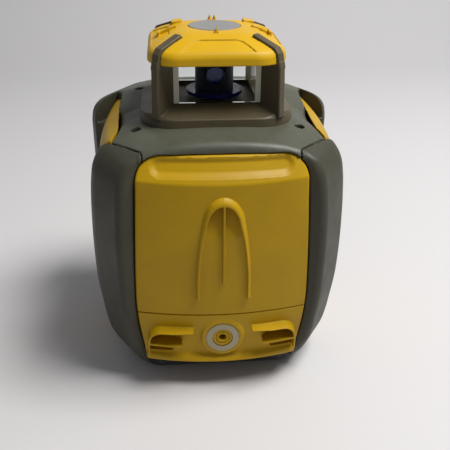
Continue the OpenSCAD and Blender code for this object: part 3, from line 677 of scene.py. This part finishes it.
def front_panel(x, y, z):
    skin = front_skin(x, y, z)
    out = rmax(skin, panel_edge(x, z) + GAP, 1.3)
    out = rmax(out, 13.5 - z, 1.2)
    frame_rib = np.maximum(rect2(x + 1.5, z - DOOR_Z, 52.5, 42.5, 2), np.maximum(skin + 2.5, 83 - y))
    out = np.maximum(out, -(skin + WALL))
    out = np.minimum(out, frame_rib)
    door_hole = rmax(np.abs(x) - DOOR[0] - 0.5, np.abs(z - DOOR_Z) - 39.0, 2.0)
    out = rmax(out, -np.maximum(door_hole, 86 - y), 0.5)
    out = np.maximum(out, -np.maximum(np.maximum(slab(x, -54, -47.4), slab(z, 28.5, 103.5)), 84 - y))
    out = np.maximum(out, -np.maximum(rect2(x, z - DOOR_Z, 37.5, 37.5, 1), 60 - y))
    out = np.maximum(out, -disc2(x - LOCK[0], z - LOCK[1], 3.9))
    for i in range(6):
        hole = rect2(x - key_centre(i), z - KEY_Z, KEY_SIZE[0] + 0.4, KEY_SIZE[1] + 0.4, 2.2)
        out = rmax(out, -hole, 0.5)
    bezel = np.maximum(rect2(x, z - DISPLAY_Z, 38.5, 18.5, 4), -(skin + 0.9))
    out = rmax(out, -bezel, 0.6)
    out = rmax(out, -rect2(x, z - DISPLAY_Z, 34, 14, 2), 0.4)
    keypad = np.maximum(rect2(x, z - 129, 53, 19.5, 5), -(skin + 0.6))
    out = rmax(out, -keypad, 0.5)
    for i in (-1, 0, 1):
        out = rmax(out, -disc2(x - 9 * i, z - LIGHTS_Z, 2.3), 0.3)
    for low, high in ((29, 36.7), (57.3, 74.7), (95.3, 103)):
        barrel = rmin(disc2(x - HINGE[0], y - HINGE[1], 2.6), rect2(x + 53.2, y - 88.5, 2.6, 1.7, 0.5), 0.6)
        out = np.minimum(out, np.maximum(barrel, slab(z, low, high)))
    return np.maximum(out, -np.maximum(disc2(x - HINGE[0], y - HINGE[1], 1.27), slab(z, 20, 110)))


def battery_door(x, y, z):
    skin = front_skin(x, y, z)
    edge = rmax(np.abs(x) - DOOR[0], np.abs(z - DOOR_Z) - 38.5, 2.0)
    out = rmax(skin, edge, 1.0)
    # raised border, grip ribs and a dished seat for the lock
    border = np.maximum(rect2(x, z - DOOR_Z, 40.5, 32.5, 5), -(skin + 0.8))
    out = rmax(out, -border, 0.7)
    for i in range(5):
        rib = rmax(rect2(x + 30, z - 52 - 7 * i, 1.2 + 2.2 * 2, 1.3, 1.2), skin - 0.2, 0.5)
        out = rmin(out, np.maximum(rib, -skin - 2.5), 0.6)
    dish = np.maximum(disc2(x - LOCK[0], z - LOCK[1], 9.0), -(y - 92.6))
    out = rmax(out, -dish, 0.5)
    out = np.maximum(out, -(skin + WALL))
    plate = np.maximum(rmax(disc2(x - LOCK[0], z - LOCK[1], 10.3), edge, 0.5), slab(y, 88.4, 92.6))
    out = np.minimum(out, np.maximum(plate, np.abs(x) - DOOR[0]))
    for low in (37.0, 75.0):
        knuckle = rmin(disc2(x - HINGE[0], y - HINGE[1], 2.6), rect2(x + 47.2, y - 90.8, 3.2, 1.2, 0.4), 0.5)
        out = np.minimum(out, np.maximum(knuckle, slab(z, low, low + 20)))
    out = np.maximum(out, -disc2(x - HINGE[0], y - HINGE[1], 1.33))
    return np.maximum(out, -disc2(x - LOCK[0], z - LOCK[1], 3.3))


def door_lock(x, y, z):
    r = np.hypot(x - LOCK[0], z - LOCK[1])
    out = rmax(r - 3, slab(y, 83.5, 95), 0.3)
    knob = rmax(r - 8, slab(y, 94.0, 97), 0.7)
    wing = rmax(rect2(x - LOCK[0], z - LOCK[1], 1.9, 7.2, 1.6), slab(y, 95, REST_Y - 0.1), 0.9)
    out = rmin(out, rmin(knob, wing, 1.2), 0.5)
    return rmax(out, -np.maximum(rect2(x - LOCK[0], z - LOCK[1] - 5.4, 0.45, 1.2, 0.3), 100.9 - y), 0.1)


def key_field(i):
    cx = key_centre(i)
    half = KEY_SIZE

    def face(v):
        return FRONT_Y - 254 + math.sqrt(254 ** 2 - v * v)

    top = face(abs(cx) + 6) + 1.4

    def field(x, y, z):
        dome = y - top + 0.35 * ((x - cx) / half[0]) ** 2 + 0.3 * ((z - KEY_Z) / half[1]) ** 2
        out = rmax(rect2(x - cx, z - KEY_Z, half[0], half[1], 2.0), dome, 0.9)
        out = np.maximum(out, 84 - y)
        flange = np.maximum(rect2(x - cx, z - KEY_Z, 7.2, 6.4, 1), slab(y, 84, top - WALL - 4.7))
        return rmax(np.minimum(out, flange), -np.maximum(glyph(i, x - cx, z - KEY_Z), top - 0.5 - y), 0.15)

    return field


def glyph(i, u, v):
    """Generic sunk mark on each key: ring with a stroke, four arrows, three dots."""
    if i == 0:
        ring = np.maximum(np.abs(np.hypot(u, v) - 2.3) - 0.35, -rect2(u, v - 2.4, 0.9, 1.0, 0.2))
        return np.minimum(ring, rect2(u, v - 1.9, 0.35, 1.3, 0.2))
    if i == 5:
        return np.minimum(np.minimum(disc2(u - 2.4, v, 0.6), disc2(u, v, 0.6)), disc2(u + 2.4, v, 0.6))
    turn = {1: (-u, v), 2: (v, u), 3: (-v, u), 4: (u, v)}[i]
    along, across = turn
    return np.maximum(0.75 * np.abs(across) + 0.66 * along - 1.2, -along - 1.4)


def jack_cap(x, y, z):
    """Built on the +X side and mirrored."""
    from_pin = x - FLAP_PIN[0], y - FLAP_PIN[1]
    out = rmax(disc2(y, z - JACK_Z, 8), slab(x, 89.7, 91.9), 0.6)
    strap = rmax(rect2(y - 9.3, z - JACK_Z, 3, 3.4, 0.8), slab(x, 89.9, 91.6), 0.4)
    barrel = np.maximum(disc2(*from_pin, 1.7), slab(z, 41, 49))
    pin = np.maximum(disc2(*from_pin, 0.8), slab(z, 37.2, 52.8))
    lip = rmax(rect2(y + 8.2, z - JACK_Z, 2.2, 2.6, 1.2), slab(x, 90.0, 91.6), 0.4)
    return np.minimum(rmin(rmin(out, strap, 0.5), rmin(barrel, lip, 0.1), 0.4), pin)


def base_tray(x, y, z):
    plan = rmax(rmax(np.abs(x) - 73.4, np.abs(y) - 71.4, 2), 0.707 * (np.abs(x) + np.abs(y) - 127), 5)
    out = rmax(plan, slab(z, 3, 13), 1.4)
    out = rmin(out, rmax(disc2(x, y, 18), slab(z, 10, 20), 1), 1.5)
    pocket = np.maximum(rect2(np.abs(x) - 36, np.abs(y) - 16, 10, 8, 2), z - 4.6)
    out = rmax(out, -pocket, 0.5)
    out = np.maximum(out, -disc2(x, y, 13))
    sx, sy = np.abs(x) - 46, np.abs(y) - 42
    return np.maximum(out, -np.minimum(disc2(sx, sy, 2.2), np.maximum(disc2(sx, sy, 4), z - 6.5)))


# ---------------------------------------------------------------- build
def build_shells():
    for front, side in ((False, "rear"), (True, "front")):
        low_y, high_y = (33, 97) if front else (-97, -33)
        for left in (False, True):
            name = f"bumper_{side}_{'left' if left else 'right'}"
            moulded(name + "_shell", bumper(front), (54, low_y, 4), (105, high_y, 214), 1.25,
                    "housing", "bumper_rubber", name, mirror=left)
    # name, field, low and high corners, mesh size, body, material slot, replaced node
    shells = (
        ("top_cover_shell", top_cover, (-84, -90, 183), (84, 90, 213), 1.0,
         "housing", "olive_shell", "top_cover"),
        ("rear_panel_shell", rear_panel, (-68, -103, 71), (68, -74, 199), 0.85,
         "housing", "yellow_shell", "rear_panel"),
        ("rear_lower_shell", rear_lower_panel, (-68, -103, 12), (68, -76, 73), 0.62,
         "housing", "yellow_shell", "rear_lower_panel"),
        ("thread_plug", thread_plug, (-8, -98, 40), (8, -87, 59), 0.35,
         "housing", "yellow_shell", None),
        ("side_right_shell", side_panel_right, (73, -56, 13), (95, 56, 203), 1.1,
         "housing", "yellow_shell", "side_panel_right"),
        ("side_left_shell", side_panel_left, (73, -56, 13), (95, 56, 203), 1.1,
         "housing", "yellow_shell", "side_panel_left"),
        ("front_panel_shell", front_panel, (-68, 78, 12), (68, 98, 198), 1.0,
         "housing", "yellow_shell", "front_panel"),
        ("base_tray_shell", base_tray, (-74, -72, 2), (74, 72, 21), 1.3,
         "housing", "base_plastic", "base_plate"),
        ("lighthouse_shell", lighthouse, (-59, -53, 204), (59, 53, 271), 0.9,
         "housing", "lighthouse_shell", "lighthouse_frame"),
        ("sun_cap_shell", sun_cap, (-52, -52, 250), (52, 52, 274), 0.8,
         "housing", "cap_yellow", "sun_cap"),
        ("cap_disc_top", cap_disc, (-20, -20, 267), (20, 20, 271.5), 0.5,
         "housing", "disc_grey", "cap_disc"),
        ("battery_door_shell", battery_door, (-54, 84, 26), (48, 98, 106), 0.9,
         "battery_door", "yellow_shell", "battery_door"),
        ("door_lock_knob", door_lock, (33, 83, 57), (50, 102, 75), 0.45,
         "door_lock", "lock_olive", "door_lock"),
        ("jack_cap_flap", jack_cap, (89, -11, 36), (93, 14, 54), 0.4,
         "jack_cap", "jack_rubber", "jack_cap"),
    )
    for row in shells:
        moulded(*row, mirror=row[0] in ("side_left_shell", "jack_cap_flap"))
    for i, name in enumerate(KEY_NAMES):
        low = (key_centre(i) - 8, 83, KEY_Z - 7)
        high = (key_centre(i) + 8, 98, KEY_Z + 7)
        moulded(name + "_cap", key_field(i), low, high, 0.4, name, "key_rubber", name)


def dress_cad_nodes():
    slots = {s["node"]: s["material_slot"] for s in frame["record"]["subparts"]}
    for name, node in frame["nodes"].items():
        node.data.materials.clear()
        node.data.materials.append(material(slots[name]))


def light_area(name, place, target, size, power, color=(1, 1, 1)):
    lamp = bpy.data.lights.new(name, "AREA")
    lamp.shape = "RECTANGLE"
    lamp.size, lamp.size_y = size
    lamp.energy = power
    lamp.color = color
    thing = bpy.data.objects.new(name, lamp)
    thing.location = place
    thing.rotation_euler = (Vector(target) - Vector(place)).to_track_quat("-Z", "Y").to_euler()
    bpy.context.scene.collection.objects.link(thing)


def build_stage():
    mesh = bpy.data.meshes.new("floor")
    rim = 4.0
    # floor that sweeps up into a wall behind the object
    profile = [(-rim, 0.0), (0.9, 0.0)]
    profile += [(0.9 + 0.6 * math.sin(a), 0.6 - 0.6 * math.cos(a)) for a in np.linspace(0.1, math.pi / 2, 14)]
    profile += [(1.5, 3.0)]
    verts = [(x, y, z) for y, z in profile for x in (-rim, rim)]
    faces = [(2 * i, 2 * i + 1, 2 * i + 3, 2 * i + 2) for i in range(len(profile) - 1)]
    mesh.from_pydata(verts, [], faces)
    mesh.polygons.foreach_set("use_smooth", np.ones(len(faces), bool))
    floor = bpy.data.objects.new("floor", mesh)
    bpy.context.scene.collection.objects.link(floor)
    mat = bpy.data.materials.new("floor")
    mat.use_nodes = True
    shader = mat.node_tree.nodes["Principled BSDF"]
    shader.inputs["Base Color"].default_value = (0.63, 0.62, 0.625, 1)
    shader.inputs["Roughness"].default_value = 0.6
    mesh.materials.append(mat)
    bpy.context.scene.view_settings.view_transform = "Standard"
    world = bpy.data.worlds.new("studio")
    world.use_nodes = True
    world.node_tree.nodes["Background"].inputs["Color"].default_value = (0.80, 0.82, 0.86, 1)
    world.node_tree.nodes["Background"].inputs["Strength"].default_value = 0.25
    bpy.context.scene.world = world
    light_area("overhead", (0.62, -0.22, 1.5), (0, 0, 0.1), (0.7, 0.6), 29, (1.0, 0.985, 0.96))
    light_area("wall_wash", (1.1, 0.2, 1.2), (0.5, 1.5, 0.7), (0.5, 0.5), 6, (0.95, 0.97, 1.0))


def build_camera():
    """At the photograph's viewing angle: behind the object, a little left of it and above."""
    place = Vector((-0.0364, -0.5015, 0.3657))
    yaw, pitch, roll = (math.radians(a) for a in (5.27, 27.97, 0.62))
    ahead = Vector((math.sin(yaw) * math.cos(pitch), math.cos(yaw) * math.cos(pitch), -math.sin(pitch)))
    level = Vector((math.cos(yaw), -math.sin(yaw), 0))
    up = level.cross(ahead)
    right = level * math.cos(roll) + up * math.sin(roll)
    top = -level * math.sin(roll) + up * math.cos(roll)
    data = bpy.data.cameras.new("camera")
    data.lens = 51.6
    data.sensor_width = 36
    camera = bpy.data.objects.new("camera", data)
    turn = Matrix((right, top, -ahead)).transposed()
    camera.matrix_world = Matrix.Translation(place) @ turn.to_4x4()
    bpy.context.scene.collection.objects.link(camera)
    bpy.context.scene.camera = camera


build_camera()
build_stage()
dress_cad_nodes()
build_shells()
